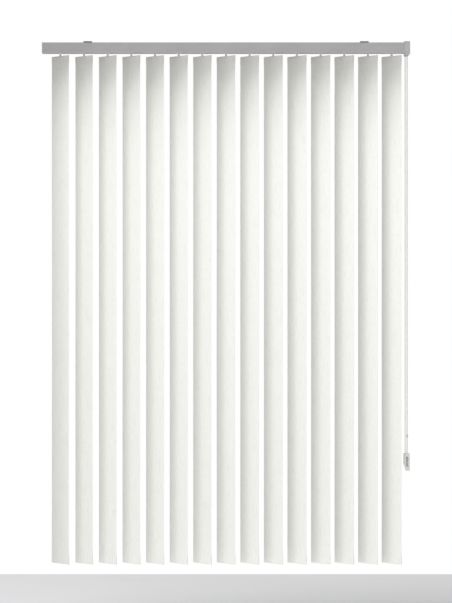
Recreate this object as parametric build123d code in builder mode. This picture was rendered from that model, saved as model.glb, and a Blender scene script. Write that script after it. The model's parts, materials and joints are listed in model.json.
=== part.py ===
"""Vertical blind with fifteen 89 mm fabric vanes, a chain-operated headrail and a chain tidy.

Millimetres. X runs along the headrail with the control end at +X, -Y faces the room, Z is up.
The origin is the middle of the fixing plane, where the ceiling brackets meet the soffit.
"""
from build123d import *
import os
from math import cos, pi, radians, sin, sqrt

# ---------------------------------------------------------------- driving dimensions
blind_width = 1196.0      # over the end cap and the control cover
blind_drop = 1699.0       # fixing plane to the bottom of the vanes
vane_count = 15
vane_width = 89.0
vane_pitch = 77.0         # distance between stems with the vanes spread
vane_angle = 48.2         # turn of each vane out of the plane of the blind

rail_depth = 40.0
rail_height = 34.0
rail_wall = 1.3
rail_slot = 14.0
rail_top = -4.5
groove_mouth = 18.0
groove_floor = -8.5
end_plate = 3.0
control_length = 18.0     # control end, housing and cover
cover_thickness = 2.0

rod_y = 8.0               # tilt rod, behind the stems
rod_z = -22.0
rod_radius = 2.4
cord_y = -12.0            # draw cord, in front of the stems
cord_z = -21.0
cord_radius = 0.7
cord_wheel_radius = 5.0

bead_radius = 2.25
bead_pitch = 6.0
chain_wheel_beads = 9
chain_turn = 3.7          # each strand stands this far left or right of the chain wheel
tidy_z = -1366.0          # axle of the tidy wheel

truck_length = 14.8
truck_half_width = 13.6
wheel_radius = 3.6
stem_radius = 2.5
worm_radius = 3.4
worm_wheel_radius = 4.4
worm_wheel_teeth = 12

vane_top = -47.0
pocket_thickness = 2.6
weight_pocket_thickness = 3.0
fabric_thickness = 0.8
top_pocket = 28.0
bottom_pocket = 34.0

# ---------------------------------------------------------------- places worked out
left_end = -blind_width / 2
right_end = blind_width / 2
rail_left = left_end + end_plate
rail_right = right_end - control_length
rail_bottom = rail_top - rail_height
rail_middle = (rail_top + rail_bottom) / 2
ceiling_of_track = groove_floor - rail_wall
track = rail_bottom + rail_wall
inner_half = rail_depth / 2 - rail_wall

chain_x = rail_right + 7.0
chain_radius = chain_wheel_beads * bead_pitch / (2 * pi)
chain_half_depth = sqrt(chain_radius**2 - chain_turn**2)

stems = [(i - (vane_count - 1) / 2) * vane_pitch for i in range(vane_count)]

spacer_levels = 6
spacer_step = 0.9
spacer_floor = -17.7
bracket_spacing = 900.0


def across(x, y=0.0, z=0.0):
    """A plane that looks along +X, with its own x along Y and its own y along Z."""
    return Plane(origin=(x, y, z), x_dir=(0, 1, 0), z_dir=(1, 0, 0))


def fore(x, y, z):
    """A plane that looks along +Y, with its own x along X and its own y along -Z."""
    return Plane(origin=(x, y, z), x_dir=(1, 0, 0), z_dir=(0, 1, 0))


def vane_plane(x, z):
    """A level plane on a stem's axis, with its own x along the vane's width."""
    turn = radians(vane_angle)
    return Plane(origin=(x, 0, z), x_dir=(cos(turn), -sin(turn), 0), z_dir=(0, 0, 1))


def save(piece, name):
    piece.part.label = name
    export_step(piece.part, f"parts/{name}.step")


# ---------------------------------------------------------------- headrail and its ends
def headrail():
    """Extruded aluminium channel: bracket groove on top, wheel tracks and a slot below."""
    lip_height = 1.2
    with BuildPart() as rail:
        with BuildSketch(across(rail_left)):
            with Locations((0, rail_middle)):
                RectangleRounded(rail_depth, rail_height, 1.0)
            with Locations((0, ceiling_of_track)):
                Rectangle(2 * inner_half, ceiling_of_track - track,
                          align=(Align.CENTER, Align.MAX), mode=Mode.SUBTRACT)
            with Locations((0, rail_top - rail_wall)):
                Rectangle(2 * inner_half, rail_top - rail_wall - groove_floor,
                          align=(Align.CENTER, Align.MAX), mode=Mode.SUBTRACT)
            with Locations((0, rail_top)):
                Rectangle(groove_mouth, rail_wall, align=(Align.CENTER, Align.MAX), mode=Mode.SUBTRACT)
            with Locations((0, rail_bottom)):
                Rectangle(rail_slot, rail_wall, align=(Align.CENTER, Align.MIN), mode=Mode.SUBTRACT)
            for side in (-1, 1):
                with Locations((side * (rail_slot + rail_wall) / 2, track)):
                    Rectangle(rail_wall, lip_height, align=(Align.CENTER, Align.MIN))
        extrude(amount=rail_right - rail_left)
    save(rail, "headrail")


def ceiling_brackets():
    """Two clips screwed to the soffit. Each has a plate that is turned under the rail's lips."""
    plate = 1.6
    screw_radius = 2.25
    lock_top = rail_top - rail_wall - 0.05
    lock_thickness = 1.4
    with BuildPart() as brackets:
        for x in (-bracket_spacing / 2, bracket_spacing / 2):
            with BuildSketch(Plane((x, 0, 0))):
                RectangleRounded(28, 34, 3)
                Circle(screw_radius, mode=Mode.SUBTRACT)
            extrude(amount=-plate)
            with BuildSketch(Plane((x, 0, -plate))):
                Circle(8)
                Circle(5.2, mode=Mode.SUBTRACT)
            extrude(amount=lock_top - lock_thickness + plate)
            with BuildSketch(Plane((x, 0, lock_top))):
                RectangleRounded(15, 2 * inner_half - 1.4, 4)
                Circle(5.2, mode=Mode.SUBTRACT)
            extrude(amount=-lock_thickness)
    save(brackets, "ceiling_brackets")


def plug_section():
    """The outline that slides into the rail, drawn in a plane across the rail."""
    with Locations((0, ceiling_of_track - 0.1)):
        Rectangle(2 * inner_half - 0.2, ceiling_of_track - track - 0.2, align=(Align.CENTER, Align.MAX))
    with Locations((0, track)):
        Rectangle(rail_slot + 2 * rail_wall + 0.4, 1.5, align=(Align.CENTER, Align.MIN), mode=Mode.SUBTRACT)


pulley_x = rail_left + 12.0
drum_x = rail_right - 14.0
plug_length = 22.0
pin_radius = 1.5


def cord_bay(x, towards):
    """Opens a plug for a cord wheel, and leaves the pin that the wheel turns on."""
    bay = cord_wheel_radius + 2.2
    with Locations((x, cord_y, cord_z)):
        Box(2 * bay, 4.4, 2 * bay, mode=Mode.SUBTRACT)
    with Locations((x + towards * plug_length / 2, cord_y, cord_z)):
        Box(plug_length, 4.4, 2 * cord_wheel_radius + 4.4, mode=Mode.SUBTRACT)
    with BuildSketch(fore(x, cord_y - 3, cord_z)) as pin:
        Circle(pin_radius)
    extrude(pin.sketch, amount=6)


def end_cap():
    """Moulded cap on the far end: a plate, and a plug that carries the rod end and the pulley."""
    with BuildPart() as cap:
        with BuildSketch(across(left_end)):
            with Locations((0, rail_middle)):
                RectangleRounded(rail_depth + 0.8, rail_height + 0.8, 1.6)
        extrude(amount=end_plate)
        outer = cap.faces().sort_by(Axis.X)[0]
        fillet(outer.edges(), 0.8)
        with BuildSketch(across(rail_left)):
            plug_section()
        extrude(amount=plug_length)
        with Locations((rail_left + plug_length / 2, 0, rod_z)):
            Box(plug_length - 4, 11, 17, mode=Mode.SUBTRACT)
        with BuildSketch(across(rail_left + 1, rod_y, rod_z)):
            Circle(rod_radius + 0.06)
        extrude(amount=plug_length, mode=Mode.SUBTRACT)
        cord_bay(pulley_x, 1)
    save(cap, "end_cap")


def cord_wheel(name, x, flange):
    """Grooved wheel for the draw cord, turning on a pin along Y."""
    root = cord_wheel_radius - cord_radius - 0.1
    with BuildPart() as wheel:
        with BuildSketch(Plane(origin=(x, cord_y, cord_z), x_dir=(1, 0, 0), z_dir=(0, 0, 1))):
            with BuildLine():
                Polyline((pin_radius + 0.06, -1.9), (flange, -1.9), (flange, -1.4), (root, -0.75),
                         (root, 0.75), (flange, 1.4), (flange, 1.9), (pin_radius + 0.06, 1.9), close=True)
            make_face()
        revolve(axis=Axis((x, cord_y, cord_z), (0, 1, 0)))
    save(wheel, name)


def draw_cord():
    """Endless cord inside the rail, round the far pulley and the drum of the control end."""
    top = cord_z + cord_wheel_radius
    bottom = cord_z - cord_wheel_radius
    with BuildPart() as cord:
        with BuildLine() as route:
            Line((pulley_x, cord_y, top), (drum_x, cord_y, top))
            ThreePointArc((drum_x, cord_y, top), (drum_x + cord_wheel_radius, cord_y, cord_z),
                          (drum_x, cord_y, bottom))
            Line((drum_x, cord_y, bottom), (pulley_x, cord_y, bottom))
        with BuildSketch(across(pulley_x, cord_y, top)):
            Circle(cord_radius)
        sweep(path=route.wires()[0])
        with BuildLine() as turn:
            ThreePointArc((pulley_x, cord_y, bottom), (pulley_x - cord_wheel_radius, cord_y, cord_z),
                          (pulley_x, cord_y, top))
        with BuildSketch(across(pulley_x, cord_y, bottom)):
            Circle(cord_radius)
        sweep(path=turn.wires()[0])
    save(cord, "draw_cord")


def tilt_rod():
    """Aluminium rod with three wings that turns every worm."""
    end_gap = 2.0
    with BuildPart() as rod:
        with BuildSketch(across(rail_left + end_gap, rod_y, rod_z)):
            Circle(rod_radius - 0.7)
            with PolarLocations(rod_radius / 2, 3):
                Rectangle(rod_radius - 0.06, 1.1)
        extrude(amount=rail_right - 1 - rail_left - end_gap)
    save(rod, "tilt_rod")


# ---------------------------------------------------------------- control end
hub_radius = 3.5
housing_height = 42.0
housing_depth = 43.0
housing_z = rail_middle
nozzle_drop = 4.0
wall = 2.0
screw_y = -16.5
screw_rise = 16.6         # cover screws, above and below the middle of the housing


def control_housing():
    """Moulded control end: a head outside the rail, a plug inside it and a nozzle for the chain."""
    head = control_length - cover_thickness
    head_bottom = housing_z - housing_height / 2
    with BuildPart() as housing:
        with BuildSketch(across(rail_right)):
            with Locations((0, housing_z)):
                RectangleRounded(housing_depth, housing_height, 4)
        extrude(amount=head)
        with BuildSketch(Plane((chain_x, rod_y, head_bottom))):
            Rectangle(14.0, 25)
        with BuildSketch(Plane((chain_x, rod_y, head_bottom - nozzle_drop))):
            Rectangle(13.8, 23)
        loft()
        with BuildSketch(across(rail_right)):
            plug_section()
        extrude(amount=-plug_length - 2)
        # space for the chain wheel, open to the cover
        with BuildSketch(across(rail_right + wall, rod_y, rod_z)):
            Circle(chain_radius + bead_radius + 1.0)
        extrude(amount=head, mode=Mode.SUBTRACT)
        with BuildSketch(across(rail_right + wall)):
            with Locations((-9, housing_z)):
                RectangleRounded(20, housing_height - 2 * wall, 2)
        extrude(amount=head, mode=Mode.SUBTRACT)
        # the way down for both strands, parted by a web
        with Locations((chain_x, rod_y, head_bottom - nozzle_drop)):
            Box(12.6, 21.4, 16, align=(Align.CENTER, Align.CENTER, Align.MIN), mode=Mode.SUBTRACT)
            Box(12.6, 5, 5, align=(Align.CENTER, Align.CENTER, Align.MIN))
        with Locations((chain_x + 1.4, rod_y, head_bottom + 1)):
            Box(12.6, 23.4, rod_z - head_bottom - 1, align=(Align.CENTER, Align.CENTER, Align.MIN),
                mode=Mode.SUBTRACT)
        # bearing for the hub of the chain wheel, and the gear space in the plug
        with BuildSketch(across(rail_right - plug_length - 3, rod_y, rod_z)):
            Circle(hub_radius + 0.06)
        extrude(amount=plug_length + 3 + 2 * wall, mode=Mode.SUBTRACT)
        with Locations((rail_right - plug_length / 2 - 1, 0, rod_z)):
            Box(plug_length - 3, 11, 17, mode=Mode.SUBTRACT)
        cord_bay(drum_x, -1)
        # screw posts for the cover
        for z in (housing_z + screw_rise, housing_z - screw_rise):
            with BuildSketch(across(rail_right + wall, screw_y, z)):
                Circle(3)
            extrude(amount=head - wall)
            with BuildSketch(across(rail_right + wall + 4, screw_y, z)):
                Circle(1.2)
            extrude(amount=head, mode=Mode.SUBTRACT)
    save(housing, "control_housing")


def control_cover():
    """End plate of the control end, with the outer bearing of the chain wheel."""
    inner = right_end - cover_thickness
    with BuildPart() as cover:
        with BuildSketch(across(inner)):
            with Locations((0, housing_z)):
                RectangleRounded(housing_depth, housing_height, 4)
        extrude(amount=cover_thickness)
        outer = cover.faces().sort_by(Axis.X)[-1]
        fillet(outer.edges(), 1.0)
        with BuildSketch(across(inner, rod_y, rod_z)):
            Circle(5)
            Circle(3.06, mode=Mode.SUBTRACT)
        extrude(amount=-3.6)
        for z in (housing_z + screw_rise, housing_z - screw_rise):
            with BuildSketch(across(inner, screw_y, z)):
                Circle(1.5)
            extrude(amount=cover_thickness, mode=Mode.SUBTRACT)
            with BuildSketch(across(right_end - 1, screw_y, z)):
                Circle(2.6)
            extrude(amount=1, mode=Mode.SUBTRACT)
    save(cover, "control_cover")


def cover_screws():
    """Two pan-head screws that hold the control cover."""
    with BuildPart() as screws:
        for z in (housing_z + screw_rise, housing_z - screw_rise):
            with BuildSketch(across(right_end - 1, screw_y, z)):
                Circle(2.4)
            extrude(amount=0.8)
            with BuildSketch(across(right_end - 1, screw_y, z)):
                Circle(1.1)
            extrude(amount=-11)
            with BuildSketch(across(right_end - 0.6, screw_y, z)):
                Rectangle(3, 0.6)
                Rectangle(0.6, 3)
            extrude(amount=0.4, mode=Mode.SUBTRACT)
    save(screws, "cover_screws")


def chain_groove_wheel(plane, axis, bore):
    """Wheel with two notched flanges and a core that the bead chain runs on."""
    half = bead_radius + 0.4
    flange = 1.1
    core = chain_radius - bead_radius - 0.4
    rim = chain_radius + 1.4
    with BuildSketch(plane) as section:
        with BuildLine():
            Polyline((bore, -half - flange), (rim, -half - flange), (rim, -half), (core, -half),
                     (core, half), (rim, half), (rim, half + flange), (bore, half + flange), close=True)
        make_face()
    revolve(section.sketch, axis=axis)


def notch_flanges(plane):
    """Cuts a notch beside each bead into both flanges of a chain wheel."""
    with BuildSketch(plane) as notches:
        with PolarLocations(chain_radius + 1.4, chain_wheel_beads):
            Circle(1.3)
    extrude(notches.sketch, amount=4, both=True, mode=Mode.SUBTRACT)


def chain_wheel():
    """Chain wheel of the control end, with a hub that takes the tilt rod."""
    axis = Axis((chain_x, rod_y, rod_z), (1, 0, 0))
    half_width = bead_radius + 0.4 + 1.1
    with BuildPart() as wheel:
        chain_groove_wheel(Plane(origin=(chain_x, rod_y, rod_z), x_dir=(0, 1, 0), z_dir=(0, 0, 1)), axis, 0)
        notch_flanges(across(chain_x, rod_y, rod_z))
        with BuildSketch(across(chain_x - half_width, rod_y, rod_z)):
            Circle(hub_radius)
        extrude(amount=-9)
        with BuildSketch(across(chain_x + half_width, rod_y, rod_z)):
            Circle(3)
        extrude(amount=4.5)
        with BuildSketch(across(chain_x - half_width - 9, rod_y, rod_z)):
            Circle(rod_radius + 0.05)
        extrude(amount=9, mode=Mode.SUBTRACT)
    save(wheel, "chain_wheel")


# ---------------------------------------------------------------- chain and tidy
def strand(side):
    """Corners of one strand's run from the chain wheel down to the tidy."""
    x = chain_x + side * chain_turn
    y = rod_y + side * chain_half_depth
    return [
        (chain_x, rod_y + side * chain_radius, rod_z),
        (chain_x, rod_y + side * chain_radius, rod_z - 6),
        (x, y, -44.0),
        (x, y, tidy_z),
    ]


def bead_chain():
    """Endless bead chain as a plain tube of its bead diameter: two taut strands and two turns."""
    lean = sqrt(0.5)
    with BuildPart() as chain:
        for side in (-1, 1):
            x = chain_x + side * chain_turn * lean
            y = rod_y + side * chain_half_depth * lean
            with BuildLine() as route:
                ThreePointArc((chain_x, rod_y, rod_z + chain_radius),
                              (chain_x, rod_y + side * chain_radius * lean, rod_z + chain_radius * lean),
                              strand(side)[0])
                FilletPolyline(*strand(side), radius=28)
                ThreePointArc(strand(side)[-1], (x, y, tidy_z - chain_radius * lean),
                              (chain_x, rod_y, tidy_z - chain_radius))
            start = Plane(origin=(chain_x, rod_y, rod_z + chain_radius), x_dir=(1, 0, 0), z_dir=(0, 1, 0))
            with BuildSketch(start):
                Circle(bead_radius)
            sweep(path=route.wires()[0])
    save(chain, "bead_chain")


def chain_joiner():
    """Clear sleeve that joins the two ends of the chain, on the rear strand."""
    x = chain_x + chain_turn
    y = rod_y + chain_half_depth
    with BuildPart() as joiner:
        with BuildSketch(Plane((x, y, -1290))):
            Circle(bead_radius + 0.9)
            Circle(bead_radius + 0.05, mode=Mode.SUBTRACT)
        extrude(amount=10)
    save(joiner, "chain_joiner")


loop_direction = (chain_turn / chain_radius, chain_half_depth / chain_radius, 0)
loop_normal = (chain_half_depth / chain_radius, -chain_turn / chain_radius, 0)
tidy_pin_radius = 2.0


def tidy_body():
    """Moulded chain tidy: a plate for the side wall, and a windowed shroud round the lower turn."""
    top = tidy_z + 25
    bottom = tidy_z - 31
    middle = (top + bottom) / 2
    front = -6.0
    back = 23.0
    outer = 577.8             # the shroud's side away from the wall
    shoulder = 585.0          # behind the chain the shroud steps back to here
    plate = 2.0
    plate_width = 46.0
    plate_y = 13.0
    screw_column = 30.0
    slot_half_length = chain_radius + bead_radius + 0.8
    slot_half_width = 4.0
    wall_side = right_end - plate
    with BuildPart() as tidy:
        with BuildSketch(Plane((0, 0, bottom))):
            with BuildLine():
                Polyline((outer, front), (outer, 6.9), (582.6, 8.2), (shoulder, 12), (shoulder, back),
                         (wall_side, back), (wall_side, front), close=True)
            make_face()
        extrude(amount=top - bottom)
        # the underside tapers to a rounded tip beside the wall
        with BuildSketch(Plane(origin=(0, front - 2, 0), x_dir=(1, 0, 0), z_dir=(0, -1, 0))):
            with BuildLine():
                Polyline((570, tidy_z - 8), (outer, tidy_z - 8), (585.5, bottom + 2), (588, bottom - 1.5),
                         (588, bottom - 5), (570, bottom - 5), close=True)
            make_face()
        extrude(amount=-40, mode=Mode.SUBTRACT)
        corners = tidy.edges().filter_by(Axis.Z).sort_by(Axis.X)[0:2]
        fillet(corners, 1.5)
        # slot for the wheel and the chain, open above
        slot = Plane(origin=(chain_x, rod_y, tidy_z), x_dir=loop_direction, z_dir=loop_normal)
        with BuildSketch(slot):
            SlotCenterToCenter(0.01, 2 * slot_half_length)
            Rectangle(2 * slot_half_length, 40, align=(Align.CENTER, Align.MIN))
        extrude(amount=slot_half_width, both=True, mode=Mode.SUBTRACT)
        # window to the room that shows the rim of the wheel
        with BuildSketch(fore(chain_x + 2.5, front, tidy_z - 1)):
            RectangleRounded(6.2, 32, 1.5)
        extrude(amount=9, mode=Mode.SUBTRACT)
        with BuildSketch(slot.offset(-slot_half_width - 0.2)):
            Circle(tidy_pin_radius)
        extrude(amount=2 * slot_half_width + 0.4)
        with BuildSketch(across(wall_side)):
            with Locations((plate_y, middle)):
                RectangleRounded(plate_width, top - bottom, 5)
        extrude(amount=plate)
        for z in (-17, 17):
            with BuildSketch(across(wall_side, screw_column, middle + z)):
                Circle(2.1)
            extrude(amount=plate, mode=Mode.SUBTRACT)
    save(tidy, "tidy_body")


def tidy_wheel():
    """Grooved wheel that holds the lower turn of the chain."""
    middle = (chain_x, rod_y, tidy_z)
    bore = tidy_pin_radius + 0.06
    with BuildPart() as wheel:
        chain_groove_wheel(Plane(origin=middle, x_dir=loop_direction, z_dir=(0, 0, 1)),
                           Axis(middle, loop_normal), bore)
    save(wheel, "tidy_wheel")


# ---------------------------------------------------------------- carrier trucks
def spacer_level(number):
    """Middle height of the spacer that belongs to this truck."""
    return spacer_floor + spacer_step * (number % spacer_levels + 0.5)


def truck(number, x):
    """Carrier truck with its four wheels, its worm and the spacer that reaches to its neighbour."""
    top = -11.2
    foot = -35.0
    neck = rail_bottom - 1.0
    window = 4.4
    half = truck_length / 2
    axle_z = track + wheel_radius + 0.05
    with BuildPart() as piece:
        with BuildSketch(Plane((x, 0, foot))):
            RectangleRounded(truck_length, 2 * truck_half_width, 1.5)
        extrude(amount=top - foot)
        with BuildSketch(Plane((x, 0, neck))):
            Circle(6)
        extrude(amount=foot - neck)
        # window that the neighbours' spacers slide through
        with Locations((x, 0, spacer_floor)):
            Box(truck_length, 2 * window, spacer_levels * spacer_step,
                align=(Align.CENTER, Align.CENTER, Align.MIN), mode=Mode.SUBTRACT)
        # ribs: the next truck's spacer is stopped here, and this truck's own is gripped
        for owner, gap in ((number, 2.55), (number + 1, 2.8)):
            for side in (-1, 1):
                with Locations((x, side * (gap + window) / 2, spacer_level(owner))):
                    Box(truck_length, window - gap, 0.6)
        # seats of the worm wheel, the worm, the stem and the two runs of the cord
        with BuildSketch(Plane((x, 0, -18.8))):
            Circle(worm_wheel_radius + 0.4)
        extrude(amount=-6.4, mode=Mode.SUBTRACT)
        with BuildSketch(across(x - half, rod_y, rod_z)):
            Circle(worm_radius + 0.5)
        extrude(amount=truck_length, mode=Mode.SUBTRACT)
        with BuildSketch(Plane((x, 0, neck))):
            Circle(stem_radius + 0.06)
        extrude(amount=rod_z - neck, mode=Mode.SUBTRACT)
        for z in (cord_z - cord_wheel_radius, cord_z + cord_wheel_radius):
            with BuildSketch(across(x - half, cord_y, z)):
                Circle(cord_radius + 0.4)
            extrude(amount=truck_length, mode=Mode.SUBTRACT)
        # wheels on stub axles
        for side in (-1, 1):
            for along in (-4, 4):
                with BuildSketch(fore(x + along, side * 15.4, axle_z)):
                    Circle(1.0)
                extrude(amount=2, both=True)
                with BuildSketch(fore(x + along, side * 15.8, axle_z)):
                    Circle(wheel_radius)
                    Circle(1.05, mode=Mode.SUBTRACT)
                extrude(amount=1.7, both=True)
        with BuildSketch(across(x - half + 0.6, rod_y, rod_z)):
            Circle(worm_radius)
            Circle(rod_radius + 0.08, mode=Mode.SUBTRACT)
        extrude(amount=truck_length - 1.2)
        if number > 1:
            stop = x - vane_pitch - half - 0.3
            with Locations((stop, 0, spacer_level(number))):
                Box(x + 5 - stop, 5, 0.5, align=(Align.MIN, Align.CENTER, Align.CENTER))
                Box(2, 8, 0.5, align=(Align.MAX, Align.CENTER, Align.CENTER))
    save(piece, f"truck_{number:02d}")


# ---------------------------------------------------------------- louvres
def stem(number, x):
    """Stem with its worm wheel and forked hook, and the hanger that slips into the vane."""
    fork_top = rail_bottom - 2.0
    fork_bottom = vane_top + 0.2
    hanger_top = vane_top + 4.4
    with BuildPart() as piece:
        with BuildSketch(Plane((x, 0, -19.5))):
            Circle(worm_wheel_radius - 0.8)
            with PolarLocations(worm_wheel_radius - 0.6, worm_wheel_teeth):
                Rectangle(1.2, 1.1)
        extrude(amount=-5)
        with BuildSketch(Plane((x, 0, -19.5))):
            Circle(stem_radius)
        extrude(amount=fork_top + 19.5)
        with BuildSketch(vane_plane(x, fork_top)):
            RectangleRounded(7, 3.8, 1)
        extrude(amount=fork_bottom - fork_top)
        with BuildSketch(vane_plane(x, fork_top - 1.5)):
            Rectangle(8, 1.7)
        extrude(amount=fork_bottom - fork_top, mode=Mode.SUBTRACT)
        across_fork = Plane(origin=(x, 0, vane_top + 2.2), x_dir=(0, 0, 1),
                            z_dir=(sin(radians(vane_angle)), cos(radians(vane_angle)), 0))
        with BuildSketch(across_fork):
            Circle(0.9)
        extrude(amount=1.5, both=True)
        with BuildSketch(across_fork):
            with Locations((hanger_top - vane_top - 2.2, 0)):
                Rectangle(hanger_top - vane_top + 0.4, 9, align=(Align.MAX, Align.CENTER))
            with Locations((-2.8, 0)):
                Rectangle(24, 60, align=(Align.MAX, Align.CENTER))
            with Locations((0, 0)):
                Rectangle(6, 9, align=(Align.MAX, Align.CENTER))
            Circle(0.96, mode=Mode.SUBTRACT)
        extrude(amount=0.7, both=True)
    save(piece, f"stem_{number:02d}")


def vane(number, x):
    """Fabric vane with a pocket at each end, and the weight in its lower pocket."""
    bottom = -blind_drop
    cloth = 0.5
    with BuildPart() as piece:
        with BuildSketch(vane_plane(x, vane_top)):
            Rectangle(vane_width, pocket_thickness)
        extrude(amount=-top_pocket)
        with BuildSketch(vane_plane(x, vane_top - top_pocket)):
            Rectangle(vane_width, fabric_thickness)
        extrude(amount=bottom + bottom_pocket - vane_top + top_pocket)
        with BuildSketch(vane_plane(x, bottom)):
            Rectangle(vane_width, weight_pocket_thickness)
        extrude(amount=bottom_pocket)
        # the pockets are open at both edges of the vane, and the upper one has a slot for the hanger
        with BuildSketch(vane_plane(x, vane_top - cloth)):
            Rectangle(vane_width, pocket_thickness - 2 * cloth)
        extrude(amount=2 * cloth - top_pocket, mode=Mode.SUBTRACT)
        with BuildSketch(vane_plane(x, vane_top)):
            Rectangle(10, pocket_thickness - 2 * cloth)
        extrude(amount=-2 * cloth, mode=Mode.SUBTRACT)
        with BuildSketch(vane_plane(x, bottom + cloth)):
            Rectangle(vane_width, weight_pocket_thickness - 2 * cloth)
        extrude(amount=bottom_pocket - 2 * cloth, mode=Mode.SUBTRACT)
        with BuildSketch(vane_plane(x, bottom + cloth + 0.5)):
            RectangleRounded(vane_width - 5, weight_pocket_thickness - 2 * cloth - 0.3, 0.5)
        extrude(amount=bottom_pocket - 2 * cloth - 1.5)
    save(piece, f"vane_{number:02d}")


# ---------------------------------------------------------------- build
os.makedirs("parts", exist_ok=True)
headrail()
ceiling_brackets()
end_cap()
cord_wheel("return_pulley", pulley_x, 6.0)
cord_wheel("cord_drum", drum_x, 6.4)
draw_cord()
tilt_rod()
control_housing()
control_cover()
cover_screws()
chain_wheel()
bead_chain()
chain_joiner()
tidy_body()
tidy_wheel()
for index, stem_x in enumerate(stems):
    truck(index + 1, stem_x)
    stem(index + 1, stem_x)
    vane(index + 1, stem_x)
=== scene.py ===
# %% [markdown]
# # A vertical blind with fabric vanes
#
# The object is a white aluminium headrail with fifteen woven vanes hung under it, a bead chain
# that turns and draws them, and a chain tidy on the side wall. The construction comes in as a
# fixed frame of named nodes. This lesson dresses it: the camera and light first, then one finish
# after another, then the cloth, the weights and the beads as meshes of their own.

# %% The frame
import bpy
import bmesh
import json
import math
import random
from mathutils import Matrix, Vector


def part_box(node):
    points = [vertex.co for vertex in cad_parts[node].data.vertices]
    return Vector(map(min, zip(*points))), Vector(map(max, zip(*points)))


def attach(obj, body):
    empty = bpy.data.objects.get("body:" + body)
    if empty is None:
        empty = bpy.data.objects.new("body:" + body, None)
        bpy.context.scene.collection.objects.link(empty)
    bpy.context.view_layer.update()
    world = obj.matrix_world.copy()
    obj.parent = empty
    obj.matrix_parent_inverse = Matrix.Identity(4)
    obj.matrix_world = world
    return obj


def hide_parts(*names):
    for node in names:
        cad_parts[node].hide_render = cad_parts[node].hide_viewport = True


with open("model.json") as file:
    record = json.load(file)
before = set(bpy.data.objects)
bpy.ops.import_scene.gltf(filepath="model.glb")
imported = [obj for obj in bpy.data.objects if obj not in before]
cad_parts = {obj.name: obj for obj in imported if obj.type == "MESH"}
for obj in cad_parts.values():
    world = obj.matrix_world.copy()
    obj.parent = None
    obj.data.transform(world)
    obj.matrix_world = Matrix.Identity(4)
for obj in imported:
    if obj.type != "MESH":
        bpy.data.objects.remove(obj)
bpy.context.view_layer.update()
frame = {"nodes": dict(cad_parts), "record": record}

# %% [markdown]
# ## Sizes
#
# Everything is in metres, so a size in millimetres is multiplied by one small number. The places
# of the vanes aren't typed in: each one is read from the box of its own node in the frame.

# %% Sizes and places
MM = 0.001
VANES = sorted(name for name in frame["nodes"] if name.startswith("vane_"))
VANE_WIDTH = 89 * MM
CLOTH = 0.45 * MM


def vane_axes(name):
    """A vane's own directions: along its width, where its points spread most, and square to its face."""
    low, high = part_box(name)
    centre = (low + high) / 2
    spread = [0.0, 0.0]
    for point in frame["nodes"][name].data.vertices:
        x, y = point.co.x - centre.x, point.co.y - centre.y
        spread[0] += x * x - y * y
        spread[1] += 2 * x * y
    turn = 0.5 * math.atan2(spread[1], spread[0])
    return Vector((math.cos(turn), math.sin(turn), 0)), Vector((-math.sin(turn), math.cos(turn), 0))


along, square = vane_axes(VANES[0])
print(len(VANES), "vanes, turned", round(math.degrees(math.atan2(-along.y, along.x)), 1), "degrees")

# %% [markdown]
# ## Camera
#
# A tall flat thing is best seen square on, from far enough away that its upright edges stay
# upright and its repeated vanes stay alike. A long lens does that. The lens is worked out from how
# much height the view takes in, so the distance can change and the framing stays.

# %% Camera
VIEW_HEIGHT = 1.963
CAMERA_DISTANCE = 8.0
CAMERA_LEVEL = -0.846
SENSOR = 36.0

camera = bpy.data.objects.new("camera", bpy.data.cameras.new("camera"))
bpy.context.scene.collection.objects.link(camera)
camera.data.sensor_width = SENSOR
camera.data.lens = SENSOR * CAMERA_DISTANCE / VIEW_HEIGHT
camera.location = (0, -CAMERA_DISTANCE, CAMERA_LEVEL)
camera.rotation_euler = (math.radians(90), 0, 0)
camera.data.clip_end = 100
bpy.context.scene.camera = camera
bpy.context.scene.view_settings.view_transform = "Standard"
print("lens", round(camera.data.lens), "mm at", CAMERA_DISTANCE, "m")

# %% [markdown]
# ## Helpers for finishes
#
# Colours are written as the hex values that a paint chart gives, and one function turns them to
# the linear light that the renderer works in. One more adds a node with its settings and links. The
# rest are what every finish here is made of: a noise of a given grain, a colour that a value picks,
# a roughness that moves with it, and a bump.

# %% Helpers
def colour(code):
    """Linear colour of an sRGB hex value such as F4F3EE."""
    parts = [int(code[i:i + 2], 16) / 255 for i in (0, 2, 4)]
    return tuple(p / 12.92 if p <= 0.04045 else ((p + 0.055) / 1.055) ** 2.4 for p in parts) + (1,)


def node(tree, kind, inputs, **settings):
    """A new node. An input is given a value, or the output that it is linked to."""
    made = tree.nodes.new(kind)
    for name, value in settings.items():
        setattr(made, name, value)
    for name, value in inputs.items():
        if isinstance(value, bpy.types.NodeSocket):
            tree.links.new(value, made.inputs[name])
        else:
            made.inputs[name].default_value = value
    return made


def finish(name, roughness, ior=1.5, metallic=0.0):
    """A material with its node tree and shader, before anything drives its colour and bump."""
    material = bpy.data.materials.new(name)
    material.use_nodes = True
    shader = material.node_tree.nodes["Principled BSDF"]
    shader.inputs["Roughness"].default_value = roughness
    shader.inputs["IOR"].default_value = ior
    shader.inputs["Metallic"].default_value = metallic
    return material, material.node_tree, shader


def place_in(tree):
    """The place on the piece, in metres."""
    return node(tree, "ShaderNodeTexCoord", {}).outputs["Object"]


def noise(tree, vector, grain, detail, roughness=0.5):
    """Noise with features of about this grain, in the units of the vector."""
    made = node(tree, "ShaderNodeTexNoise",
                {"Vector": vector, "Scale": 1 / grain, "Detail": detail, "Roughness": roughness})
    return made.outputs["Fac"]


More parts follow.
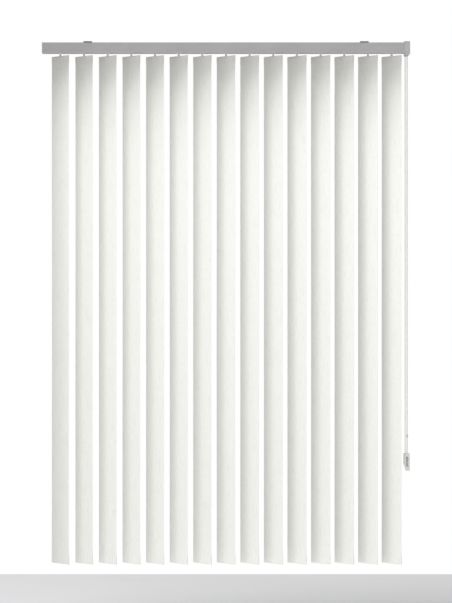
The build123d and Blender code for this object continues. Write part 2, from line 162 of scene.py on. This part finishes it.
def drive_colour(tree, shader, value, dark, light, start=0.0, end=1.0):
    """The base colour goes from dark to light as the value goes from start to end."""
    ramp = node(tree, "ShaderNodeValToRGB", {"Fac": value})
    first, last = ramp.color_ramp.elements
    first.position, last.position = start, end
    first.color, last.color = colour(dark), colour(light)
    tree.links.new(ramp.outputs["Color"], shader.inputs["Base Color"])


def drive_roughness(tree, shader, value, low, high):
    """The roughness moves between two limits with the value."""
    spread = node(tree, "ShaderNodeMapRange", {"Value": value, "To Min": low, "To Max": high})
    tree.links.new(spread.outputs["Result"], shader.inputs["Roughness"])


def drive_bump(tree, shader, height, strength, distance):
    """A bump of the height's own relief, this many metres deep."""
    bump = node(tree, "ShaderNodeBump", {"Height": height, "Strength": strength, "Distance": distance})
    tree.links.new(bump.outputs["Normal"], shader.inputs["Normal"])


# %% [markdown]
# ## Light and floor
#
# White things need a light that is soft and comes mostly from one side, or they turn into flat
# paper. The main panel stands high in front, a little to the left. The vanes are turned the same
# way, so it lights their faces, but each vane's near edge still keeps it off the far edge of the
# next one. Two cards stand where a window recess would be, one over the rail and one beside the
# first vane, and keep the light off the rail, the tops and the end of the row. Those soft shades
# are what makes the row read as depth. The surroundings give a weaker even light, and stand behind
# the gaps as plain white.

# %% Light
SURROUND = 0.52
BLIND_MIDDLE = Vector((0, 0, -0.85))
world = bpy.data.worlds.new("studio")
bpy.context.scene.world = world
world.use_nodes = True
seen = node(world.node_tree, "ShaderNodeLightPath", {})
level = node(world.node_tree, "ShaderNodeMapRange",
             {"Value": seen.outputs["Is Camera Ray"], "To Min": SURROUND, "To Max": 1.0})
background = world.node_tree.nodes["Background"]
background.inputs["Color"].default_value = (1, 1, 1, 1)
world.node_tree.links.new(level.outputs["Result"], background.inputs["Strength"])


def panel(name, towards, distance, size, power):
    """A soft square light panel that faces the middle of the blind from the given direction."""
    light = bpy.data.lights.new(name, "AREA")
    light.size, light.energy = size, power
    lamp = bpy.data.objects.new(name, light)
    direction = Vector(towards).normalized()
    lamp.location = BLIND_MIDDLE + direction * distance
    lamp.rotation_euler = direction.to_track_quat("Z", "Y").to_euler()
    bpy.context.scene.collection.objects.link(lamp)


panel("key_panel", (-0.27, -0.46, 0.80), 6.0, 3.2, 262)


def card(name, corners):
    """A flat card that keeps light off what is behind it, as a studio flag does. It isn't seen itself."""
    mesh = bpy.data.meshes.new(name)
    mesh.from_pydata(corners, [], [(0, 1, 2, 3)])
    made = bpy.data.objects.new(name, mesh)
    made.visible_camera = False
    bpy.context.scene.collection.objects.link(made)


CARD_FRONT, CARD_TOP, CARD_FOOT = -0.155, 0.03, -1.95
CARD_HALF, CARD_BACK = 0.8, 0.25
CARD_SIDE, CARD_SIDE_BACK = -0.66, 0.10
card("card_over_rail", [(-CARD_HALF, CARD_FRONT, CARD_TOP), (CARD_HALF, CARD_FRONT, CARD_TOP),
                        (CARD_HALF, CARD_BACK, CARD_TOP), (-CARD_HALF, CARD_BACK, CARD_TOP)])
card("card_beside_row", [(CARD_SIDE, CARD_FRONT, CARD_TOP), (CARD_SIDE, CARD_SIDE_BACK, CARD_TOP),
                         (CARD_SIDE, CARD_SIDE_BACK, CARD_FOOT), (CARD_SIDE, CARD_FRONT, CARD_FOOT)])

# %% Floor
FLOOR_LEVEL, FLOOR_HALF, FLOOR_BEHIND = -2.0, 6.0, 2.4
FLOOR_GRAIN = 0.5
floor_mesh = bpy.data.meshes.new("floor")
floor_form = bmesh.new()
bmesh.ops.create_grid(floor_form, x_segments=1, y_segments=1, size=FLOOR_HALF)
floor_form.to_mesh(floor_mesh)
floor = bpy.data.objects.new("floor", floor_mesh)
floor.location = (0, FLOOR_BEHIND - FLOOR_HALF, FLOOR_LEVEL)
bpy.context.scene.collection.objects.link(floor)
floor_paint, floor_tree, floor_shader = finish("pale_studio_floor", 0.7)
floor_drift = noise(floor_tree, place_in(floor_tree), FLOOR_GRAIN, 2)
drive_colour(floor_tree, floor_shader, floor_drift, "F2F2F3", "F8F8F9")
floor_mesh.materials.append(floor_paint)
print("studio ready")

# %% [markdown]
# ## Finish: powder-coated aluminium
#
# The headrail and its brackets are sprayed with dry powder and baked. The baked film flows out to
# a satin with a very fine orange peel, so edges carry soft highlights and no brush marks.
# A noise at the grain of that peel drives a small bump, and a slower one moves the colour a little.
# The coat itself is white; its colours here are a light grey, which is painted shade over the whole coat.

# %% Powder-coated aluminium
def powder_coat_with_painted_shade():
    material, tree, shader = finish("powder_coat_with_painted_shade", 0.42)
    peel = noise(tree, place_in(tree), 1.1 * MM, 2)
    drift = noise(tree, place_in(tree), 90 * MM, 3)
    # Both colours are a light grey where the real coat is white: painted shade, as a window recess would
    # cast.
    drive_colour(tree, shader, drift, "C9C6C7", "D2CFD0", 0.3, 0.7)
    drive_bump(tree, shader, peel, 0.25, 0.05 * MM)
    return material


# %% [markdown]
# ## Finish: moulded acetal
#
# Trucks, stems, hooks and the control end are injection-moulded acetal, a white, slightly waxy
# plastic. The mould is spark-eroded, which prints a fine matt grain on the piece. Roughness moves a
# little with the same grain, so a highlight breaks up instead of sliding like a mirror.

# %% Moulded acetal
def moulded_acetal(name, light, dark, roughness):
    material, tree, shader = finish(name, roughness, ior=1.48)
    grain = noise(tree, place_in(tree), 0.5 * MM, 3)
    flow = noise(tree, place_in(tree), 14 * MM, 2)
    drive_colour(tree, shader, flow, dark, light, 0.35, 0.65)
    drive_roughness(tree, shader, grain, roughness - 0.06, roughness + 0.08)
    drive_bump(tree, shader, grain, 0.2, 0.03 * MM)
    return material


# %% [markdown]
# ## Finish: drawn aluminium and zinc-plated steel
#
# The tilt rod is bare aluminium, drawn through a die that leaves faint lines along it. The screws
# are steel with a thin zinc plate, cloudy and a little blue. Both are metals, so the base colour is
# the colour of the reflection. The grain goes into roughness, and on the rod into bump as well.

# %% Bare metals
def drawn_aluminium():
    material, tree, shader = finish("drawn_aluminium", 0.32, metallic=1.0)
    stretch = node(tree, "ShaderNodeMapping",
                   {"Vector": place_in(tree), "Scale": (1 / (40 * MM), 1 / (0.3 * MM), 1 / (0.3 * MM))})
    lines = noise(tree, stretch.outputs["Vector"], 1.0, 2)
    drive_colour(tree, shader, lines, "B9BBBD", "D2D4D6")
    drive_roughness(tree, shader, lines, 0.25, 0.42)
    drive_bump(tree, shader, lines, 0.3, 0.03 * MM)
    return material


def zinc_plated_steel():
    material, tree, shader = finish("zinc_plated_steel", 0.35, metallic=1.0)
    cloud = noise(tree, place_in(tree), 3 * MM, 4)
    drive_colour(tree, shader, cloud, "AEB4BA", "CDD2D6")
    drive_roughness(tree, shader, cloud, 0.28, 0.5)
    return material


# %% [markdown]
# ## Finish: braided polyester cord
#
# The draw cord inside the rail is a white braid. A diagonal wave at about the size of its strands
# gives the bump, and that is enough for a cord under two millimetres thick.

# %% Braided cord
def braided_polyester():
    material, tree, shader = finish("braided_polyester", 0.8)
    strands = node(tree, "ShaderNodeTexWave",
                   {"Vector": place_in(tree), "Scale": 1 / (2.2 * MM), "Distortion": 1.5},
                   bands_direction="DIAGONAL")
    drive_colour(tree, shader, strands.outputs["Fac"], "D5D4CE", "EFEEE9")
    drive_bump(tree, shader, strands.outputs["Fac"], 0.6, 0.1 * MM)
    return material


# %% [markdown]
# ## Finish: woven polyester with slub yarn
#
# The vanes are a stiffened plain weave. The warp, which runs down the vane, has slub yarns: threads
# that thicken and thin again over a few centimetres, so the cloth shows fine upright streaks. The
# threads stand about a millimetre apart. The cloth's mesh carries a map in metres, so the weave, the
# slubs and the streaks are each given in millimetres. They are drawn a little coarser than real
# yarn, because at full size they would vanish from across a room.

# %% Woven polyester
WAVES_TO_THREADS = 0.31
SLUB_RISE = 1.6


def stretched(tree, across, down):
    """The cloth's own map, in units of this size across the vane and down it."""
    place = node(tree, "ShaderNodeUVMap", {}, uv_map="cloth")
    made = node(tree, "ShaderNodeMapping",
                {"Vector": place.outputs["UV"], "Scale": (1 / across, 1 / down, 1)})
    return made.outputs["Vector"]


def threads(tree, direction):
    """A wave for one set of threads, about a millimetre apart."""
    made = node(tree, "ShaderNodeTexWave",
                {"Vector": stretched(tree, MM, MM), "Scale": WAVES_TO_THREADS, "Distortion": 0.4},
                bands_direction=direction)
    return made.outputs["Fac"]


def woven_slub_polyester():
    material, tree, shader = finish("woven_slub_polyester", 0.86, ior=1.5)
    shader.inputs["Sheen Weight"].default_value = 0.15
    shader.inputs["Sheen Roughness"].default_value = 0.5
    streak = noise(tree, stretched(tree, 2.6 * MM, 70 * MM), 1.0, 3, roughness=0.6)
    slub = noise(tree, stretched(tree, 1.1 * MM, 16 * MM), 1.0, 2)
    weave = node(tree, "ShaderNodeMath", {0: threads(tree, "X"), 1: threads(tree, "Y")},
                 operation="MULTIPLY")
    height = node(tree, "ShaderNodeMath", {0: slub, 1: SLUB_RISE, 2: weave.outputs["Value"]},
                  operation="MULTIPLY_ADD")
    shade = node(tree, "ShaderNodeMath", {0: streak, 1: slub}, operation="ADD")
    drive_colour(tree, shader, shade.outputs["Value"], "EBEAE5", "F6F6F2", 0.75, 1.25)
    drive_bump(tree, shader, height.outputs["Value"], 0.35, 0.12 * MM)
    return material


# %% [markdown]
# ## Dressing the construction
#
# Every node of the frame names a slot, so one table gives each slot its finish. The moulded ends of
# the rail get a greyer white than the other plastic, which is painted shade like the grey of the rail's
# coat. The mesh itself is never touched: only its material slot is filled.

# %% Finishes by slot
acetal = moulded_acetal("moulded_acetal", "EFEEEA", "E6E5E1", 0.42)
# A greyer white for the rail's moulded ends: painted shade, not the plastic's own colour.
acetal_with_painted_shade = moulded_acetal("moulded_acetal_painted_shade", "DAD8D8", "D2D0D0", 0.42)
coat_with_painted_shade = powder_coat_with_painted_shade()
bead_acetal = moulded_acetal("polished_acetal_beads", "F1F0EC", "E4E3DF", 0.28)
cloth_finish = woven_slub_polyester()
FINISHES = {
    "painted_rail": coat_with_painted_shade,
    "rod_aluminium": drawn_aluminium(),
    "bracket_steel": coat_with_painted_shade,
    "screw_steel": zinc_plated_steel(),
    "white_plastic": acetal,
    "chain_plastic": bead_acetal,
    "cord_braid": braided_polyester(),
    "vane_fabric": cloth_finish,
}
# The moulded ends that take the greyer acetal, which is painted shade.
ENDS_IN_PAINTED_SHADE = ("end_cap", "control_housing", "control_cover")
for part in frame["record"]["subparts"]:
    mesh = frame["nodes"][part["node"]].data
    mesh.materials.clear()
    in_painted_shade = part["node"] in ENDS_IN_PAINTED_SHADE
    mesh.materials.append(acetal_with_painted_shade if in_painted_shade else FINISHES[part["material_slot"]])

# %% [markdown]
# ## The cloth of a vane
#
# A vane is one strip of cloth. Its top end is folded back over a plastic hanger and welded, and its
# bottom end is folded up round a flat weight and welded. It could be a box with a cloth finish, but
# then its edges would be solid where the real one shows two layers and a fold. So the strip's own
# side view is drawn as a path, from the end of the top flap over the fold, down the face, round the
# weight and up to the end of the bottom flap, and that path is swept across the width. The face
# stays flat over the weight, and the flap behind takes its thickness. A Solidify modifier then gives
# the cloth its own.

# %% Path of the strip
TOP_POCKET = 28 * MM
BOTTOM_POCKET = 34 * MM
FLAP = 3 * MM
HANGER_HALF = 1.0 * MM
WEIGHT_HALF = 1.2 * MM
LAYER = CLOTH / 2 + 0.02 * MM
WEIGHT_MIDDLE = WEIGHT_HALF - LAYER
FLAP_ROWS, HANGER_ROWS, FOLD_ROWS, FACE_ROWS, WEIGHT_ROWS = 3, 8, 6, 56, 9
HANGER_SWELL_ROWS, WEIGHT_SWELL_ROWS = 3, 4


def ease(value):
    """Smooth step from 0 to 1."""
    value = min(max(value, 0.0), 1.0)
    return value * value * (3 - 2 * value)


def strip_path(top, bottom):
    """Side view of the strip, as (offset from the vane's middle plane, height). The face is at -LAYER."""
    weld_top, weld_bottom = top - TOP_POCKET, bottom + BOTTOM_POCKET
    fold_top, fold_bottom = top - HANGER_HALF, bottom + WEIGHT_HALF
    path = []
    for step in range(FLAP_ROWS + 1):
        path.append((LAYER, weld_top - FLAP + FLAP * step / FLAP_ROWS))
    for step in range(1, HANGER_ROWS + 1):
        swell = ease(step / HANGER_SWELL_ROWS)
        path.append((LAYER + (HANGER_HALF - LAYER) * swell,
                     weld_top + (fold_top - weld_top) * step / HANGER_ROWS))
    for step in range(1, FOLD_ROWS):
        turn = math.pi * step / FOLD_ROWS
        path.append((HANGER_HALF * math.cos(turn), fold_top + HANGER_HALF * math.sin(turn)))
    for step in range(HANGER_ROWS + 1):
        swell = ease((HANGER_ROWS - step) / HANGER_SWELL_ROWS)
        path.append((-LAYER - (HANGER_HALF - LAYER) * swell,
                     fold_top + (weld_top - fold_top) * step / HANGER_ROWS))
    for step in range(1, FACE_ROWS):
        path.append((-LAYER, weld_top + (weld_bottom - weld_top) * step / FACE_ROWS))
    for step in range(WEIGHT_ROWS + 1):
        path.append((-LAYER, weld_bottom + (fold_bottom - weld_bottom) * step / WEIGHT_ROWS))
    for step in range(1, FOLD_ROWS):
        turn = math.pi + math.pi * step / FOLD_ROWS
        path.append((WEIGHT_MIDDLE + WEIGHT_HALF * math.cos(turn),
                     fold_bottom + WEIGHT_HALF * math.sin(turn)))
    for step in range(WEIGHT_ROWS + 1):
        swell = ease((WEIGHT_ROWS - step) / WEIGHT_SWELL_ROWS)
        path.append((LAYER + 2 * WEIGHT_MIDDLE * swell,
                     fold_bottom + (weld_bottom - fold_bottom) * step / WEIGHT_ROWS))
    for step in range(1, FLAP_ROWS + 1):
        path.append((LAYER, weld_bottom + FLAP * step / FLAP_ROWS))
    return path


# %% [markdown]
# ## Hanging the strips
#
# Cloth that hangs under a weight is almost flat, but never quite: it cups by a fraction of a
# millimetre, wanders slowly along its length, and the lowest hand's breadth turns a little with its
# weight, the first vane's most of all. A few numbers drawn for each vane do that without a
# simulation, which would only find the same straight drop. Past the ends of the weight the flap
# pinches in towards the face. The slot for the hanger is a gap left in the fold.

# %% Vane cloth
COLUMNS = [-44.5, -42, -38, -30, -20, -10, -5, 0, 5, 10, 20, 30, 38, 42, 44.5]
SLOT_COLUMNS = (6, 7)
PINCH_START, PINCH = 0.94, 0.6
TURN_HEIGHT = 70 * MM
FIRST_TURN = math.radians(0.9)
CUP_CENTRE = 0.33
WANDER_WAVES = 2.1
MAP_SHIFT = 0.31


def character(number):
    """How one vane differs: its cup, its wander with a phase, its twist, and its turn at the bottom."""
    draw = random.Random(number)
    shape = {"cup": draw.uniform(0.1, 0.5) * MM, "wander": draw.uniform(-0.5, 0.5) * MM,
             "phase": draw.uniform(0, 6), "twist": draw.uniform(-0.006, 0.006),
             "turn": math.radians(draw.uniform(-0.25, 0.25))}
    if number == 1:
        shape["turn"] = FIRST_TURN
    return shape


def hang(point_across, offset, height, top, bottom, shape):
    """Where a point of the strip hangs, as (across, offset), given how this vane cups and wanders."""
    edge = abs(point_across) / (VANE_WIDTH / 2)
    drop = (top - height) / (top - bottom)
    sway = math.sin(math.pi * drop)
    cup = shape["cup"] * (edge * edge - CUP_CENTRE) * sway
    wander = shape["wander"] * math.sin(WANDER_WAVES * math.pi * drop + shape["phase"]) * sway
    if offset > LAYER:
        offset = LAYER + (offset - LAYER) * (1 - PINCH * ease((edge - PINCH_START) / (1 - PINCH_START)))
    away = offset + cup + wander + shape["twist"] * sway * point_across
    turn = shape["turn"] * ease((bottom + TURN_HEIGHT - height) / TURN_HEIGHT)
    return (point_across * math.cos(turn) - away * math.sin(turn),
            point_across * math.sin(turn) + away * math.cos(turn))


def vane_cloth(name, number):
    """The strip of this vane, in the place and direction of its node."""
    shape = character(number)
    low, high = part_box(name)
    centre = (low + high) / 2
    along, square = vane_axes(name)
    path = strip_path(high.z - CLOTH / 2, low.z + CLOTH / 2)
    form = bmesh.new()
    cloth_map = form.loops.layers.uv.new("cloth")
    rows, lengths, length = [], [], 0.0
    for index, (offset, height) in enumerate(path):
        if index:
            length += math.dist(path[index - 1], path[index])
        lengths.append(length)
        row = []
        for column in COLUMNS:
            across, away = hang(column * MM, offset, height, high.z, low.z, shape)
            spot = Vector((centre.x, centre.y, height)) + along * across + square * away
            row.append(form.verts.new(spot))
        rows.append(row)
    fold = [i for i, (offset, height) in enumerate(path) if height > high.z - HANGER_HALF * 0.9]
    for i in range(len(rows) - 1):
        for j in range(len(COLUMNS) - 1):
            if j in SLOT_COLUMNS and i in fold and i + 1 in fold:
                continue
            face = form.faces.new((rows[i][j], rows[i + 1][j], rows[i + 1][j + 1], rows[i][j + 1]))
            face.smooth = True
            for loop, (a, b) in zip(face.loops, ((i, j), (i + 1, j), (i + 1, j + 1), (i, j + 1))):
                loop[cloth_map].uv = (COLUMNS[b] * MM + number * MAP_SHIFT, lengths[a])
    mesh = bpy.data.meshes.new(f"cloth_{number:02d}")
    form.to_mesh(mesh)
    piece = bpy.data.objects.new(f"cloth_{number:02d}", mesh)
    bpy.context.scene.collection.objects.link(piece)
    thickness = piece.modifiers.new("cloth", "SOLIDIFY")
    thickness.thickness, thickness.offset = CLOTH, 0
    mesh.materials.append(cloth_finish)
    return piece


for number, name in enumerate(VANES, 1):
    piece = vane_cloth(name, number)
    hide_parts(name)
    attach(piece, f"louvre_{number:02d}")

# %% [markdown]
# ## Weights
#
# Each lower pocket holds a flat weight in white plastic, with a notch in the middle of its top edge.
# It shows only as a pale edge in the open side of the pocket, but it is there when the blind is seen
# from the side. It is drawn as an outline, given its thickness and bevelled.

# %% Weights
WEIGHT_LENGTH, WEIGHT_HEIGHT, WEIGHT_THICKNESS = 84 * MM, 30 * MM, 1.7 * MM
WEIGHT_CORNER, WEIGHT_NOTCH, WEIGHT_EDGE, WEIGHT_LIFT = 3 * MM, 4 * MM, 0.3 * MM, 0.3 * MM
CORNER_STEPS = 4


def weight(name, number):
    """The flat weight in the lower pocket of this vane, turned with the pocket."""
    low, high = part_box(name)
    centre = (low + high) / 2
    along, square = vane_axes(name)
    corner, notch = WEIGHT_CORNER, WEIGHT_NOTCH
    half = WEIGHT_LENGTH / 2
    outline = []
    for cx, cz, start in ((half - corner, corner, -90), (half - corner, WEIGHT_HEIGHT - corner, 0),
                          (-half + corner, WEIGHT_HEIGHT - corner, 90), (-half + corner, corner, 180)):
        for step in range(CORNER_STEPS + 1):
            angle = math.radians(start + step * 90 / CORNER_STEPS)
            outline.append((cx + corner * math.cos(angle), cz + corner * math.sin(angle)))
        if start == 0:
            outline += [(notch, WEIGHT_HEIGHT), (notch * 0.6, WEIGHT_HEIGHT - notch / 2),
                        (-notch * 0.6, WEIGHT_HEIGHT - notch / 2), (-notch, WEIGHT_HEIGHT)]
    form = bmesh.new()
    base = low.z + CLOTH + WEIGHT_LIFT
    turn = character(number)["turn"]
    turned_along = along * math.cos(turn) + square * math.sin(turn)
    turned_square = square * math.cos(turn) - along * math.sin(turn)
    start = Vector((centre.x, centre.y, base)) + turned_square * (WEIGHT_MIDDLE - WEIGHT_THICKNESS / 2)
    ring = [form.verts.new(start + turned_along * a + Vector((0, 0, z))) for a, z in outline]
    face = form.faces.new(ring)
    grown = bmesh.ops.extrude_face_region(form, geom=[face])["geom"]
    far_side = [v for v in grown if isinstance(v, bmesh.types.BMVert)]
    bmesh.ops.translate(form, vec=turned_square * WEIGHT_THICKNESS, verts=far_side)
    bmesh.ops.recalc_face_normals(form, faces=form.faces)
    mesh = bpy.data.meshes.new(f"weight_{number:02d}")
    form.to_mesh(mesh)
    piece = bpy.data.objects.new(f"weight_{number:02d}", mesh)
    bpy.context.scene.collection.objects.link(piece)
    edge = piece.modifiers.new("edge", "BEVEL")
    edge.width, edge.segments, edge.angle_limit = WEIGHT_EDGE, 2, math.radians(50)
    mesh.materials.append(acetal)
    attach(piece, f"louvre_{number:02d}")
    return piece


for number, name in enumerate(VANES, 1):
    plate = weight(name, number)
print("made", len(VANES), "weights")

# %% [markdown]
# ## The bead chain
#
# The chain is a cord with beads moulded onto it at a steady pitch. Its line is known: down the rear
# strand, round the wheel in the tidy, up the front strand and over the chain wheel. The tidy's wheel
# stands turned a little, so the strands lean to its plane under the rail. The beads could be placed
# by an array along a curve, but here the line is walked at the bead pitch in plain code, because the
# pitch then comes out even all round: at each step a bead is put down, with a short length of cord to
# the next one. A bead with few sides is round enough at this size, and keeps the whole chain light.

# %% Line of the chain
BEAD_RADIUS = 2.25 * MM
BEAD_PITCH = 6 * MM
LEAN_START, LEAN_LENGTH = 4 * MM, 18 * MM

chain_low, chain_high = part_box("bead_chain")
chain_middle = (chain_low + chain_high) / 2
chain_half = (chain_high - chain_low) / 2 - Vector((BEAD_RADIUS,) * 3)
turn_radius = chain_half.y
lean_angle = math.asin(chain_half.x / turn_radius)
upper_axle, lower_axle = chain_high.z - BEAD_RADIUS - turn_radius, chain_low.z + BEAD_RADIUS + turn_radius
strand_length, half_turn = upper_axle - lower_axle, math.pi * turn_radius
chain_length = 2 * (strand_length + half_turn)


def chain_point(travel):
    """The point of the chain's line this far on from where the rear strand leaves the upper wheel."""
    if travel < strand_length:
        side, height = 1, upper_axle - travel
    elif travel < strand_length + half_turn:
        angle = (travel - strand_length) / turn_radius
        side, height = math.cos(angle), lower_axle - turn_radius * math.sin(angle)
    elif travel < 2 * strand_length + half_turn:
        side, height = -1, lower_axle + travel - strand_length - half_turn
    else:
        angle = (travel - 2 * strand_length - half_turn) / turn_radius
        side, height = -math.cos(angle), upper_axle + turn_radius * math.sin(angle)
    lean = lean_angle * ease((upper_axle - LEAN_START - height) / LEAN_LENGTH)
    out = turn_radius * side
    return Vector((chain_middle.x + out * math.sin(lean), chain_middle.y + out * math.cos(lean), height))


bead_count = round(chain_length / BEAD_PITCH)
print("chain of", round(chain_length, 3), "m with", bead_count, "beads")

# %% Beads
BEAD_SIDES, BEAD_RINGS = 10, 6
LINK_RADIUS = 0.6 * MM


def ring_profile():
    """Rings of one bead and its link, as (distance along the chain, radius)."""
    rings = [(-BEAD_RADIUS, LINK_RADIUS)]
    for step in range(1, BEAD_RINGS):
        angle = math.pi * step / BEAD_RINGS
        rings.append((-BEAD_RADIUS * math.cos(angle), max(BEAD_RADIUS * math.sin(angle), LINK_RADIUS)))
    rings.append((BEAD_RADIUS, LINK_RADIUS))
    return rings


def beads():
    """The whole chain as one closed skin: each bead swells out of the cord and the next follows it."""
    points, rings_made = [], 0
    for index in range(bead_count):
        here = chain_length * index / bead_count
        for ahead, radius in ring_profile():
            place = chain_point((here + ahead) % chain_length)
            direction = (chain_point((here + ahead + MM) % chain_length) - place).normalized()
            first = direction.cross(Vector((1, 0, 0))).normalized()
            second = direction.cross(first)
            for side in range(BEAD_SIDES):
                angle = 2 * math.pi * side / BEAD_SIDES
                points.append(place + (first * math.cos(angle) + second * math.sin(angle)) * radius)
            rings_made += 1
    faces = []
    for ring in range(rings_made):
        here, after = ring * BEAD_SIDES, (ring + 1) % rings_made * BEAD_SIDES
        for side in range(BEAD_SIDES):
            turn = (side + 1) % BEAD_SIDES
            faces.append((here + side, here + turn, after + turn, after + side))
    mesh = bpy.data.meshes.new("beads")
    mesh.from_pydata(points, [], faces)
    mesh.shade_smooth()
    piece = bpy.data.objects.new("beads", mesh)
    bpy.context.scene.collection.objects.link(piece)
    mesh.materials.append(bead_acetal)
    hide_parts("bead_chain")
    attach(piece, "rail")
    return len(faces)


print("beads and links:", beads(), "faces")
